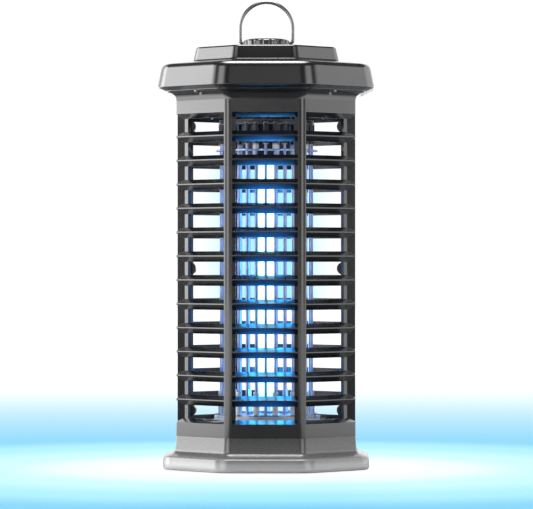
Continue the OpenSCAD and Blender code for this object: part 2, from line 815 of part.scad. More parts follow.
// The coil on that middle leg.
module leg_winding(w, d, h) {
    leg = 4.4;
    window_w = (w - 3 * leg) / 2;
    gap = 0.2;
    translate([0, 0, leg + gap]) difference() {
        translate([-leg / 2 - window_w + gap, -d / 2 - window_w, 0])
            cube([leg + 2 * (window_w - gap), d + 2 * window_w, h - 2 * leg - 2 * gap]);
        translate([-leg / 2 - gap, -d / 2 - gap, -1]) cube([leg + 2 * gap, d + 2 * gap, h]);
    }
}

module transformer_winding() {
    color([0.85, 0.75, 0.2]) at_board(17, 8) leg_winding(26, 14, 19);
}

module ballast_core() {
    color([0.5, 0.5, 0.52]) at_board(-19, -11) wound_frame(22, 10, 16);
}

module ballast_winding() {
    color([0.7, 0.35, 0.15]) at_board(-19, -11) leg_winding(22, 10, 16);
}

module hv_capacitors() {
    color([0.75, 0.2, 0.15])
        for (i = [0:3])
            at_board(-26 + 7 * i, 14) {
                translate([-2.5, -6, 1]) cube([5, 12, 10]);
                for (side = [-1, 1])
                    translate([0, side * 4, 0]) cylinder(h = 1.1, r = 0.4);
            }
}

module rectifier_diodes() {
    color([0.12, 0.12, 0.13])
        for (i = [0:3])
            at_board(4 + 6 * i, -18) {
                translate([0, -3, 2]) rotate([-90, 0, 0]) cylinder(h = 6, r = 1.5);
                for (side = [-1, 1])
                    translate([0, side * 4.2, 0]) {
                        cylinder(h = 2.4, r = 0.4);
                        translate([0, -side * 1.4, 2]) rotate([90, 0, 0])
                            translate([0, 0, -1.4]) cylinder(h = 2.8, r = 0.4);
                    }
            }
}

module bleed_resistor() {
    color([0.8, 0.7, 0.5]) at_board(-6, 0) {
        translate([-5, 0, 3]) rotate([0, 90, 0]) cylinder(h = 10, r = 2);
        for (side = [-1, 1]) {
            translate([side * 7, 0, 0]) cylinder(h = 3.4, r = 0.4);
            translate([side * 6, 0, 3]) rotate([0, 90, 0]) translate([0, 0, -1.2])
                cylinder(h = 2.4, r = 0.4);
        }
    }
}

module fuse_holder() {
    color([0.8, 0.8, 0.82]) translate([-46, 0, deck_z]) {
        translate([-4.5, -12, 0]) cube([9, 24, 2.5]);
        for (side = [-1, 1])
            translate([-3, side * 9 - 1.2, 2.4]) cube([6, 2.4, 4]);
        translate([0, -10, 5.5]) rotate([-90, 0, 0]) cylinder(h = 20, r = 2.6);
    }
}

module terminal_block() {
    color([0.2, 0.35, 0.6]) translate([0, 46, deck_z]) difference() {
        translate([-12, -6, 0]) cube([24, 12, 11]);
        for (x = [-8, 0, 8]) {
            translate([x, 0, 5]) cylinder(h = 10, r = 2);
            translate([x, -10, 4]) rotate([-90, 0, 0]) cylinder(h = 20, r = 1.6);
        }
    }
}

module grid_leads() {
    color([0.7, 0.1, 0.1]) sweep([
        [22, board_y + 9, board_z], [22, board_y + 9, board_z - 1.6],
        [23, board_y + 17, board_z - 3.4],
        [live_drop[0] + 0.5, live_drop[1] - 1, deck_z + 1.6], [live_drop[0], live_drop[1], deck_z - 1],
        [live_drop[0], live_drop[1], live_z + 6], [live_drop[0], live_drop[1], live_z]], lead_r, 8);
    r_out = norm(return_drop);
    r_end = grid_r + lobe_r + lead_r;
    color([0.1, 0.1, 0.3]) sweep([
        [14, board_y + 12, board_z], [14, board_y + 12, board_z - 1.6],
        [17, board_y + 29, deck_z + 2.4], [return_drop[0] - 4, return_drop[1] - 9, deck_z + 2.2],
        [return_drop[0], return_drop[1] - 0.5, deck_z + 1],
        [return_drop[0], return_drop[1], ledge_z - 4],
        [return_drop[0], return_drop[1], return_z + 6],
        for (k = [1:2])
            [(r_out - 3 * k) * cos(67.5), (r_out - 3 * k) * sin(67.5), return_z + 6 - 2.7 * k],
        [r_end * cos(67.5), r_end * sin(67.5), return_z + 0.6]], lead_r, 8);
}

module lamp_leads() {
    color([0.85, 0.85, 0.85])
        for (side = [-1, 1])
            sweep([
                [side * 9, -13, board_z], [side * 9, -13, board_z - 1.5],
                [side * 7.6, -13, board_z - 2.9], [side * 5, -13, deck_z + 2.2],
                [side * 4, -13, deck_z], [side * 4, -13, ledge_z - 3.6]],
                lead_r, 8);
}

// Base of the lantern: skirt, ledge and neck outside, a bowl inside, a spigot up into the cage.
module collection_tray() {
    inner = cage_half - tray_wall;
    color([0.06, 0.06, 0.07]) union() {
        difference() {
            union() {
                difference() {
                    loft([
                        [skirt_half - 1.6, 20, 20, skirt_low],
                        [skirt_half - 0.4, 21, 21, skirt_low + 1.2],
                        [skirt_half, 21.5, 21.5, skirt_low + 3],
                        [skirt_half - 0.5, 21, 21, skirt_h - 1.8],
                        [skirt_half - 1.2, 20.5, 20.5, skirt_h - 0.6],
                        [skirt_half - 2.4, 20, 20, skirt_h],
                        [cage_half + 2.2, pillar_r + 2, side_corner_r + 2, skirt_h + 2.2],
                        [cage_half + 1.2, pillar_r + 1, side_corner_r + 1, skirt_h + 2.8],
                        [cage_half + 0.8, pillar_r + 0.6, side_corner_r + 0.6, skirt_h + 4.2],
                        [cage_half, pillar_r, side_corner_r, seam_z]]);
                    // Open moulding under the skirt.
                    difference() {
                        loft([
                            [skirt_half - 3.4, 17.5, 17.5, skirt_low - 1],
                            [skirt_half - 2.6, 18, 18, skirt_low + 3],
                            [skirt_half - 3.6, 17, 17, skirt_h - 2.8],
                            [cage_half + 0.5, 8, 8, skirt_h - 0.6]]);
                        octa_prism(cage_half, pillar_r, side_corner_r, 0, skirt_h + 1);
                    }
                }
            }
            octa_prism(inner, pillar_r - tray_wall, 1, tray_floor, seam_z + 1);
            translate([0, 0, skirt_low - 1])
                octa_prism(inner, pillar_r - tray_wall, 1, 0, tray_floor - floor_t - skirt_low + 1);
        }
        // Spigot that slides up inside the cage, stiffened where it meets the neck.
        difference() {
            octa_prism(spigot_half, pillar_r - band_wall - spigot_gap, 1, seam_z - 6, seam_z + spigot_h);
            octa_prism(spigot_half - 2.2, pillar_r - band_wall - 2.5, 1,
                       seam_z - 7, seam_z + spigot_h + 1);
        }
        difference() {
            octa_prism(inner + 0.5, pillar_r - tray_wall, 1, seam_z - 6, seam_z - 2);
            octa_prism(spigot_half - 2.2, pillar_r - band_wall - 2.5, 1, seam_z - 7, seam_z);
        }
    }
}

module rubber_feet() {
    color([0.05, 0.05, 0.05])
        for (x = [-1, 1], y = [-1, 1])
            translate([x * foot_at, y * foot_at, 0]) rotate_extrude()
                polygon([[0, 0], [foot_r - 0.8, 0], [foot_r, 0.8], [foot_r, tray_floor - floor_t],
                    [0, tray_floor - floor_t]]);
}

roof_shell();
hanger_hub();
hub_screws();
bail_handle();
roof_screws();
cord_gland();
front_frame();
front_louvres();
rear_frame();
rear_louvres();
cage_screws();
deck_plate();
deck_screws();
upper_insulator();
insulator_screws();
lamp_holder();
lamp_holder_screws();
lamp_base();
lamp_pins();
lamp_tubes();
live_ring();
live_wires();
return_ring();
return_wires();
lower_insulator();
lower_insulator_screws();
circuit_board();
board_standoffs();
transformer_core();
transformer_winding();
ballast_core();
ballast_winding();
hv_capacitors();
rectifier_diodes();
bleed_resistor();
fuse_holder();
terminal_block();
grid_leads();
lamp_leads();
collection_tray();
rubber_feet();
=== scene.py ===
import math

import bmesh
import bpy
from mathutils import Matrix, Vector


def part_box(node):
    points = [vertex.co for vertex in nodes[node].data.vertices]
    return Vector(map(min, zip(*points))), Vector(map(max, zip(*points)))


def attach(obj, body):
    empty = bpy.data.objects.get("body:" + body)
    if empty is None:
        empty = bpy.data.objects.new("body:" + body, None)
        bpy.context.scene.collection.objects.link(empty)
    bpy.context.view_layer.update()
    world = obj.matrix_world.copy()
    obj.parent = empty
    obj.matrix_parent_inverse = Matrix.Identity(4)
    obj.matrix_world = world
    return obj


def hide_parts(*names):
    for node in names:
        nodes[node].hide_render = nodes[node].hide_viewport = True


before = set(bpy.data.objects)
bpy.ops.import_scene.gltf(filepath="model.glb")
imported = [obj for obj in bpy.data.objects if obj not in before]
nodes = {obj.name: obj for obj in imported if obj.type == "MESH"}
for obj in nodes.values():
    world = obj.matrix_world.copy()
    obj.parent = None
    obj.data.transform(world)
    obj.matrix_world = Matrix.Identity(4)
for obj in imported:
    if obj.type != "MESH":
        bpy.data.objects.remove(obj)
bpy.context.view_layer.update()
scene = bpy.context.scene
MM = 0.001


# Camera. The lantern stands at table height and is seen from straight in front with a long
# lens, so that its sides hardly converge. The camera is a little right of its middle.
def look_at(obj, place, target):
    obj.location = place
    obj.rotation_euler = (Vector(target) - Vector(place)).to_track_quat("-Z", "Y").to_euler()


camera = bpy.data.objects.new("camera", bpy.data.cameras.new("camera"))
scene.collection.objects.link(camera)
look_at(camera, (0.047, -2.70, 0.1637), (0.0, 0.0, 0.1692))
camera.data.lens = 230.4
camera.data.sensor_width = 36
camera.data.clip_start = 0.05
camera.data.clip_end = 60
scene.camera = camera
scene.view_settings.view_transform = "Standard"


# Studio. A white room whose light comes from tall soft panels: a broad bright one at the
# left, a dimmer one at the right, narrow ones between, and dark gaps that draw the edges.
def add_node(tree, kind, **settings):
    made = tree.nodes.new(kind)
    for key, value in settings.items():
        setattr(made, key, value)
    return made


def math_node(tree, operation, a, b=None, clamp=False):
    made = add_node(tree, "ShaderNodeMath", operation=operation, use_clamp=clamp)
    for socket, value in zip(made.inputs, (a, b)):
        if isinstance(value, bpy.types.NodeSocket):
            tree.links.new(value, socket)
        elif value is not None:
            socket.default_value = value
    return made.outputs[0]


def remap(tree, value, low, high, new_low=0.0, new_high=1.0, smooth=False):
    made = add_node(tree, "ShaderNodeMapRange")
    made.interpolation_type = "SMOOTHSTEP" if smooth else "LINEAR"
    tree.links.new(value, made.inputs["Value"])
    for key, number in (("From Min", low), ("From Max", high), ("To Min", new_low), ("To Max", new_high)):
        made.inputs[key].default_value = number
    return made.outputs["Result"]


def ramp(tree, value, stops, smooth=False):
    made = add_node(tree, "ShaderNodeValToRGB")
    made.color_ramp.interpolation = "EASE" if smooth else "LINEAR"
    elements = made.color_ramp.elements
    while len(elements) < len(stops):
        elements.new(0.5)
    for element, (at, colour) in zip(elements, stops):
        element.position = at
    for element, (at, colour) in zip(elements, stops):
        element.color = (*colour, 1)
    tree.links.new(value, made.inputs["Fac"])
    return made.outputs["Color"]


def blend_colours(tree, factor, a, b, kind="MIX"):
    made = add_node(tree, "ShaderNodeMix", data_type="RGBA", blend_type=kind)
    for key, value in (("Factor", factor), ("A", a), ("B", b)):
        socket = next(s for s in made.inputs if s.name == key and s.enabled)
        if isinstance(value, bpy.types.NodeSocket):
            tree.links.new(value, socket)
        elif isinstance(value, (int, float)):
            socket.default_value = value
        else:
            socket.default_value = (*value, 1)
    return next(s for s in made.outputs if s.enabled)


world = bpy.data.worlds.new("studio")
scene.world = world
world.use_nodes = True
sky = world.node_tree
sky.nodes.clear()
direction = add_node(sky, "ShaderNodeTexCoord").outputs["Generated"]
parts = add_node(sky, "ShaderNodeSeparateXYZ")
sky.links.new(direction, parts.inputs[0])
bearing = math_node(sky, "ARCTAN2", parts.outputs["X"], math_node(sky, "MULTIPLY", parts.outputs["Y"], -1))
turn = remap(sky, bearing, -math.pi, math.pi)
PANELS = [(-180, 1.3), (-135, 1.3), (-118, 7.6), (-96, 7.0), (-80, 5.2), (-68, 0.05), (-60, 0.05),
          (-53, 4.4), (-40, 4.4), (-32, 0.05), (-20, 0.05), (-9, 0.65), (9, 0.65), (20, 0.05), (32, 0.05),
          (40, 3.2), (53, 3.2), (60, 0.05), (68, 0.05), (80, 1.9), (112, 2.6), (135, 1.3), (180, 1.3)]
walls = ramp(sky, turn, [((a + 180) / 360, (v / 10,) * 3) for a, v in PANELS])
above = ramp(sky, remap(sky, parts.outputs["Z"], -1, 1),
             [(0.72, (0, 0, 0)), (0.78, (1, 1, 1)), (0.9, (1, 1, 1))])
upper = ramp(sky, remap(sky, parts.outputs["Z"], -1, 1),
             [(0.95, (0.01,) * 3), (0.98, (1.5,) * 3), (1.0, (1.5,) * 3)], smooth=True)
room = blend_colours(sky, above, walls, upper)
studio_light = add_node(sky, "ShaderNodeBackground")
studio_light.inputs["Strength"].default_value = 10
sky.links.new(room, studio_light.inputs["Color"])
# The wall behind the lantern is white, with the lamp's cyan falling on it behind the cage.
CAMERA_BEARING = 0.0174
sideways = math_node(sky, "DIVIDE", parts.outputs["X"], parts.outputs["Y"])
aside = math_node(sky, "ABSOLUTE", math_node(sky, "ADD", sideways, CAMERA_BEARING))
rise = math_node(sky, "DIVIDE", parts.outputs["Z"], math_node(sky, "ABSOLUTE", parts.outputs["Y"]))
tall = math_node(sky, "MULTIPLY", remap(sky, rise, -0.044, -0.03, smooth=True),
                 remap(sky, rise, 0.036, 0.024, smooth=True))
spill = math_node(sky, "MULTIPLY", tall, remap(sky, aside, 0.0215, 0.006, smooth=True))
backdrop = add_node(sky, "ShaderNodeBackground")
sky.links.new(blend_colours(sky, spill, (1, 1, 1), (0.42, 0.88, 1.0)), backdrop.inputs["Color"])
backdrop.inputs["Strength"].default_value = 1.05
seen = add_node(sky, "ShaderNodeLightPath")
joined = add_node(sky, "ShaderNodeMixShader")
sky.links.new(seen.outputs["Is Camera Ray"], joined.inputs[0])
sky.links.new(studio_light.outputs[0], joined.inputs[1])
sky.links.new(backdrop.outputs[0], joined.inputs[2])
sky.links.new(joined.outputs[0], add_node(sky, "ShaderNodeOutputWorld").inputs[0])


# Floor. A plain pale table top with a painted glow of white light round the foot and a soft cyan
# further out, that fades back to white behind.
def new_material(name):
    material = bpy.data.materials.new(name)
    material.use_nodes = True
    tree = material.node_tree
    return material, tree, tree.nodes["Principled BSDF"]


floor_bm = bmesh.new()
bmesh.ops.create_grid(floor_bm, x_segments=8, y_segments=8, size=9)
floor_mesh = bpy.data.meshes.new("floor")
floor_bm.to_mesh(floor_mesh)
floor_bm.free()
floor = bpy.data.objects.new("floor", floor_mesh)
scene.collection.objects.link(floor)
floor_finish, tree, bsdf = new_material("pale_floor")
place = add_node(tree, "ShaderNodeTexCoord").outputs["Object"]
reach = add_node(tree, "ShaderNodeVectorMath", operation="LENGTH")
tree.links.new(place, reach.inputs[0])
split = add_node(tree, "ShaderNodeSeparateXYZ")
tree.links.new(place, split.inputs[0])
# Painted light: a white glow round the foot, then the cyan of the table further out.
painted_glow_and_tint = ramp(tree, reach.outputs["Value"],
            [(0.09, (1, 1, 1)), (0.14, (0.8, 0.96, 1.0)), (0.22, (0.52, 0.86, 0.95)),
             (0.34, (0.34, 0.76, 0.91)), (0.45, (0.17, 0.57, 0.81)), (0.65, (0.19, 0.58, 0.82))], smooth=True)
far = remap(tree, split.outputs["Y"], 0.2, 2.2, smooth=True)
pale = blend_colours(tree, far, painted_glow_and_tint, (1, 1, 1))
tree.links.new(blend_colours(tree, 0.94, pale, (0, 0, 0)), bsdf.inputs["Base Color"])
tree.links.new(pale, bsdf.inputs["Emission Color"])
bsdf.inputs["Emission Strength"].default_value = 0.93
bsdf.inputs["Roughness"].default_value = 0.6
bsdf.inputs["Specular IOR Level"].default_value = 0.1
# Only the camera sees the pale top. What it throws back on to the lantern is a dull grey.
dull = add_node(tree, "ShaderNodeBsdfPrincipled")
dull.inputs["Base Color"].default_value = (0.07, 0.075, 0.08, 1)
dull.inputs["Roughness"].default_value = 0.9
dull.inputs["Emission Strength"].default_value = 1.0
beside = ramp(tree, remap(tree, split.outputs["X"], -1, 1),
              [(0.2, (3.4, 3.4, 3.4)), (0.34, (0, 0, 0)), (0.66, (0, 0, 0)), (0.8, (2.0, 2.0, 2.0))])
tree.links.new(beside, dull.inputs["Emission Color"])
seen = add_node(tree, "ShaderNodeLightPath")
joined = add_node(tree, "ShaderNodeMixShader")
tree.links.new(seen.outputs["Is Camera Ray"], joined.inputs[0])
tree.links.new(dull.outputs[0], joined.inputs[1])
tree.links.new(bsdf.outputs[0], joined.inputs[2])
tree.links.new(joined.outputs[0], tree.nodes["Material Output"].inputs["Surface"])
floor_mesh.materials.append(floor_finish)


# Collection tray. An open octagonal dish in black ABS with a wide skirt that stands out at
# the foot, moulded in one piece. Its spigot slides up inside the cage and holds by friction.
STEPS = 7


def octagon_ring(bm, half, pillar, side, z):
    """A rounded octagon's edges: half across flats, radius of the 4 pillar corners and of the rest."""
    before = set(bm.edges)
    reach = half / math.cos(math.radians(22.5))
    angles = [math.radians(22.5 + 45 * i) for i in range(8)]
    corners = [bm.verts.new((reach * math.cos(a) * MM, reach * math.sin(a) * MM, z * MM)) for a in angles]
    bm.faces.new(corners)
    for members, radius in ((corners[1:3] + corners[5:7], pillar),
                            (corners[0:1] + corners[3:5] + corners[7:8], side)):
        bmesh.ops.bevel(bm, geom=members, affect="VERTICES",
                        offset=radius * math.tan(math.radians(22.5)) * MM,
                        offset_type="OFFSET", segments=STEPS, profile=0.5, material=-1)
    ring = [e for e in bm.edges if e not in before]
    bmesh.ops.delete(bm, geom=list({f for e in ring for f in e.link_faces}), context="FACES_ONLY")
    return ring


def loft(bm, sections, close_first=True, close_last=True):
    """Bridges octagon rings in order, each (half, pillar radius, side radius, height) in millimetres."""
    rings = [octagon_ring(bm, *section) for section in sections]
    for low, high in zip(rings, rings[1:]):
        bmesh.ops.bridge_loops(bm, edges=low + high)
    if close_first:
        bmesh.ops.contextual_create(bm, geom=rings[0])
    if close_last:
        bmesh.ops.contextual_create(bm, geom=rings[-1])
    return rings


def ease_edges(bm, width, limit=32):
    """Rounds every edge that turns by more than limit degrees, width in millimetres."""
    sharp = [e for e in bm.edges if e.is_manifold and e.calc_face_angle() > math.radians(limit)]
    bmesh.ops.bevel(bm, geom=sharp, affect="EDGES", offset=width * MM, offset_type="OFFSET",
                    segments=2, profile=0.5, material=-1, clamp_overlap=True)


def shown(name, bm, body, slot, material, *stands_for, recalculate=True):
    """Turns a bmesh into a piece that rides on a body and stands for CAD nodes."""
    if recalculate:
        bmesh.ops.recalc_face_normals(bm, faces=bm.faces)
    for face in bm.faces:
        face.smooth = True
    for edge in bm.edges:
        edge.smooth = edge.is_manifold and edge.calc_face_angle() < math.radians(34)
    mesh = bpy.data.meshes.new(name)
    bm.to_mesh(mesh)
    bm.free()
    piece = bpy.data.objects.new(name, mesh)
    scene.collection.objects.link(piece)
    mesh.materials.append(material)
    weighted = piece.modifiers.new("even_flats", "WEIGHTED_NORMAL")
    weighted.keep_sharp = True
    if stands_for:
        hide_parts(*stands_for)
    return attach(piece, body)


def shader_group(name, inputs, outputs):
    """An empty shader group with named float inputs and outputs, and its two end nodes."""
    made = bpy.data.node_groups.new(name, "ShaderNodeTree")
    for label, value in inputs:
        socket = made.interface.new_socket(label, in_out="INPUT", socket_type="NodeSocketFloat")
        socket.default_value = value
    for label in outputs:
        made.interface.new_socket(label, in_out="OUTPUT", socket_type="NodeSocketFloat")
    return made, add_node(made, "NodeGroupInput"), add_node(made, "NodeGroupOutput")


# Grain of a moulded or drawn surface: a broad mottle, and a fine texture for gloss and bump.
grain_group, given, put = shader_group("grain", [("Scale", 900), ("Along", 1)], ["Mottle", "Fine"])
stretch = add_node(grain_group, "ShaderNodeCombineXYZ")
stretch.inputs["X"].default_value = 1
stretch.inputs["Y"].default_value = 1
grain_group.links.new(given.outputs["Along"], stretch.inputs["Z"])
scaled = add_node(grain_group, "ShaderNodeVectorMath", operation="MULTIPLY")
grain_group.links.new(add_node(grain_group, "ShaderNodeTexCoord").outputs["Object"], scaled.inputs[0])
grain_group.links.new(stretch.outputs[0], scaled.inputs[1])
fine = add_node(grain_group, "ShaderNodeTexNoise")
fine.inputs["Detail"].default_value = 3
grain_group.links.new(given.outputs["Scale"], fine.inputs["Scale"])
grain_group.links.new(scaled.outputs[0], fine.inputs["Vector"])
broad = add_node(grain_group, "ShaderNodeTexNoise")
broad.inputs["Scale"].default_value = 38
broad.inputs["Detail"].default_value = 4
grain_group.links.new(scaled.outputs[0], broad.inputs["Vector"])
grain_group.links.new(remap(grain_group, broad.outputs["Fac"], 0.35, 0.68), put.inputs["Mottle"])
grain_group.links.new(remap(grain_group, fine.outputs["Fac"], 0.3, 0.7), put.inputs["Fine"])

# Edge wear: finds where the surface turns within a small radius and breaks that up.
edge_group, given, put = shader_group("edge_wear", [("Radius", 0.0006)], ["Mask"])
rounded = add_node(edge_group, "ShaderNodeBevel", samples=4)
edge_group.links.new(given.outputs["Radius"], rounded.inputs["Radius"])
compared = add_node(edge_group, "ShaderNodeVectorMath", operation="DOT_PRODUCT")
edge_group.links.new(rounded.outputs["Normal"], compared.inputs[0])
edge_group.links.new(add_node(edge_group, "ShaderNodeNewGeometry").outputs["Normal"], compared.inputs[1])
worn = add_node(edge_group, "ShaderNodeTexNoise")
worn.inputs["Scale"].default_value = 160
worn.inputs["Detail"].default_value = 4
edge_group.links.new(add_node(edge_group, "ShaderNodeTexCoord").outputs["Object"], worn.inputs["Vector"])
turned = remap(edge_group, compared.outputs["Value"], 0.995, 0.9)
edge_group.links.new(math_node(edge_group, "MULTIPLY", turned,
                               remap(edge_group, worn.outputs["Fac"], 0.3, 0.6)),
                     put.inputs["Mask"])

# Dust: a thin broken layer on whatever faces up.
dust_group, given, put = shader_group("dust", [("Amount", 0.1)], ["Mask"])
facing = add_node(dust_group, "ShaderNodeSeparateXYZ")
dust_group.links.new(add_node(dust_group, "ShaderNodeNewGeometry").outputs["Normal"], facing.inputs[0])
specks = add_node(dust_group, "ShaderNodeTexNoise")
specks.inputs["Scale"].default_value = 420
specks.inputs["Detail"].default_value = 5
dust_group.links.new(add_node(dust_group, "ShaderNodeTexCoord").outputs["Object"], specks.inputs["Vector"])
laid = math_node(dust_group, "MULTIPLY", remap(dust_group, facing.outputs["Z"], 0.35, 0.95),
                 remap(dust_group, specks.outputs["Fac"], 0.42, 0.62))
dust_group.links.new(math_node(dust_group, "MULTIPLY", laid, given.outputs["Amount"]), put.inputs["Mask"])


def placed(tree, group, **values):
    made = add_node(tree, "ShaderNodeGroup", node_tree=group)
    for key, value in values.items():
        made.inputs[key].default_value = value
    return made.outputs


def finish(name, deep, pale, rough, bump=0.08, scale=900, along=1, metal=0.0, coat=0.0, coat_rough=0.08,
           wear=(0.3, 0.3, 0.32), wear_amount=0.35, dust=0.06, radius=0.0005, gloss=0.5):
    """A mottled, grained and edge-worn surface; rough is its lowest and highest roughness."""
    material, tree, bsdf = new_material(name)
    grain = placed(tree, grain_group, Scale=scale, Along=along)
    colour = blend_colours(tree, grain["Mottle"], deep, pale)
    edges = placed(tree, edge_group, Radius=radius)["Mask"]
    colour = blend_colours(tree, math_node(tree, "MULTIPLY", edges, wear_amount), colour, wear)
    colour = blend_colours(tree, placed(tree, dust_group, Amount=dust)["Mask"], colour, (0.42, 0.41, 0.39))
    tree.links.new(colour, bsdf.inputs["Base Color"])
    tree.links.new(remap(tree, grain["Fine"], 0, 1, *rough), bsdf.inputs["Roughness"])
    relief = add_node(tree, "ShaderNodeBump")
    relief.inputs["Strength"].default_value = bump
    relief.inputs["Distance"].default_value = 0.0002
    tree.links.new(grain["Fine"], relief.inputs["Height"])
    tree.links.new(relief.outputs["Normal"], bsdf.inputs["Normal"])
    bsdf.inputs["Metallic"].default_value = metal
    bsdf.inputs["Coat Weight"].default_value = coat
    bsdf.inputs["Coat Roughness"].default_value = coat_rough
    bsdf.inputs["Specular IOR Level"].default_value = gloss
    return material


tray_finish = finish("tray_abs", (0.008, 0.008, 0.009), (0.014, 0.014, 0.015), (0.24, 0.34), bump=0.04,
                     scale=1500, coat=0.45, wear_amount=0.2, dust=0.03)
# The black skirt is painted paler towards its foot, a painted glow of the floor's light that deepens into the
# black neck above it.
tree = tray_finish.node_tree
bsdf = tree.nodes["Principled BSDF"]
height = add_node(tree, "ShaderNodeSeparateXYZ")
tree.links.new(add_node(tree, "ShaderNodeTexCoord").outputs["Object"], height.inputs[0])
painted_skirt_glow = ramp(tree, remap(tree, height.outputs["Z"], 0.0, 0.03),
             [(0.02, (0.74,) * 3), (0.18, (0.42,) * 3), (0.36, (0.17,) * 3),
              (0.42, (0.07,) * 3), (0.6, (0.06,) * 3), (0.9, (0.03,) * 3)],
             smooth=True)
plain = bsdf.inputs["Base Color"].links[0].from_socket
tree.links.new(blend_colours(tree, 1.0, plain, painted_skirt_glow, "ADD"), bsdf.inputs["Base Color"])

tray_bm = bmesh.new()
loft(tray_bm, [
    (67.6, 6.4, 1, 2.0), (67.6, 6.4, 1, 0.9), (70.2, 9, 2.5, 0.8), (70.2, 9, 2.5, 10.9),
    (77.4, 17, 17, 9.0), (78.4, 18, 18, 3.8), (77.7, 17.6, 17.6, 0.9), (79.4, 20, 20, 0.8),
    (80.3, 20.7, 20.7, 1.3), (80.75, 21.2, 21.2, 2.2), (81, 21.5, 21.5, 3.8), (80.5, 21, 21, 10),
    (80.2, 20.8, 20.8, 10.8), (79.6, 20.4, 20.4, 11.4), (78.6, 20, 20, 11.8), (73.2, 12, 6, 13.5),
    (72.0, 10.6, 4, 14.3), (71.2, 9.9, 3.3, 15.4), (70.9, 9.6, 3.1, 17), (70.2, 9, 2.5, 27.2),
    (66.65, 5.45, 1, 27.3), (66.65, 5.45, 1, 31.5), (64.45, 3.5, 1, 31.4), (64.45, 3.5, 1, 21.3),
    (67.6, 6.4, 1, 21.2), (67.6, 6.4, 1, 4.5)])
bmesh.ops.recalc_face_normals(tray_bm, faces=tray_bm.faces)
ease_edges(tray_bm, 0.35)
shown("tray_dish", tray_bm, "tray", "housing", tray_finish, "collection_tray")


# Feet. Four soft rubber discs pressed into the tray's underside, turned with a small chamfer
# so that they don't catch.
def lathe(bm, profile, matrix=Matrix.Identity(4), steps=48):
    """Spins a profile of (radius, height) in millimetres about its own Z axis."""
    verts = [bm.verts.new((r * MM, 0, z * MM)) for r, z in profile]
    edges = [bm.edges.new(pair) for pair in zip(verts, verts[1:])]
    made = bmesh.ops.spin(bm, geom=verts + edges, cent=(0, 0, 0), axis=(0, 0, 1), dvec=(0, 0, 0),
                          angle=2 * math.pi, steps=steps, use_merge=True)
    whole = set(verts)
    reached = list(verts)
    while reached:
        for edge in reached.pop().link_edges:
            for vert in edge.verts:
                if vert not in whole:
                    whole.add(vert)
                    reached.append(vert)
    bmesh.ops.transform(bm, matrix=matrix, verts=list(whole))
    bmesh.ops.remove_doubles(bm, verts=list(whole), dist=1e-6)
    return made


rubber = finish("rubber", (0.012, 0.012, 0.012), (0.03, 0.03, 0.029), (0.62, 0.82), bump=0.35, scale=2200,
                wear=(0.09, 0.09, 0.09), wear_amount=0.4, dust=0.2, gloss=0.3)
feet_bm = bmesh.new()
for x in (-42.12, 42.12):
    for y in (-42.12, 42.12):
        lathe(feet_bm, [(0, 0), (4.4, 0), (5.2, 0.12), (5.8, 0.5), (6, 1.0), (6, 2.0), (0, 2.0)],
              Matrix.Translation((x * MM, y * MM, 0)), 40)
shown("foot_pads", feet_bm, "tray", "rubber", rubber, "rubber_feet")


# Cage. Two moulded halves in glossy black ABS meet at the side mullions and are screwed
# through bosses. The louvres run between the pillars, each tipped so that insects can walk in.
def eased(name, node, body, slot, material, width, limit=32, rounds=True):
    """A CAD node's copy with its flats merged and its sharp edges rounded."""
    bm = bmesh.new()
    bm.from_mesh(nodes[node].data)
    bmesh.ops.remove_doubles(bm, verts=bm.verts, dist=2e-6)
    bmesh.ops.dissolve_limit(bm, angle_limit=math.radians(0.4), verts=bm.verts, edges=bm.edges)
    if rounds:
        ease_edges(bm, width, limit)
    return shown(name, bm, body, slot, material, node, recalculate=False)


housing = finish("gloss_black_abs", (0.004, 0.004, 0.005), (0.009, 0.009, 0.01), (0.17, 0.26), bump=0.03,
                 scale=1500, coat=0.5, coat_rough=0.05, wear=(0.14, 0.14, 0.15), wear_amount=0.3, dust=0.025)
eased("cage_front", "front_frame", "housing", "housing", housing, 0.35)
eased("cage_rear", "rear_frame", "housing", "housing", housing, 0.35)
# The lamp's blue spills along the undersides of the louvres, most in the middle of each face.
louvre = housing.copy()
louvre.name = "lamplit_louvre_abs"
tree = louvre.node_tree
bsdf = tree.nodes["Principled BSDF"]
around = add_node(tree, "ShaderNodeSeparateXYZ")
tree.links.new(add_node(tree, "ShaderNodeTexCoord").outputs["Object"], around.inputs[0])
underside = add_node(tree, "ShaderNodeSeparateXYZ")
tree.links.new(add_node(tree, "ShaderNodeNewGeometry").outputs["Normal"], underside.inputs[0])
across = remap(tree, math_node(tree, "ABSOLUTE", around.outputs["X"]), 0.0, 0.028, 1, 0, smooth=True)
spill = math_node(tree, "MULTIPLY", across, remap(tree, underside.outputs["Z"], -0.2, -0.75))
ripple = placed(tree, grain_group, Scale=200)["Mottle"]
spill = math_node(tree, "MULTIPLY", spill, remap(tree, ripple, 0, 1, 0.6, 1.0))
tree.links.new(blend_colours(tree, spill, (0, 0, 0), (0.008, 0.15, 0.62)), bsdf.inputs["Emission Color"])
bsdf.inputs["Emission Strength"].default_value = 0.42
eased("louvres_front", "front_louvres", "housing", "housing", louvre, 0.22)
eased("louvres_rear", "rear_louvres", "housing", "housing", louvre, 0.22)


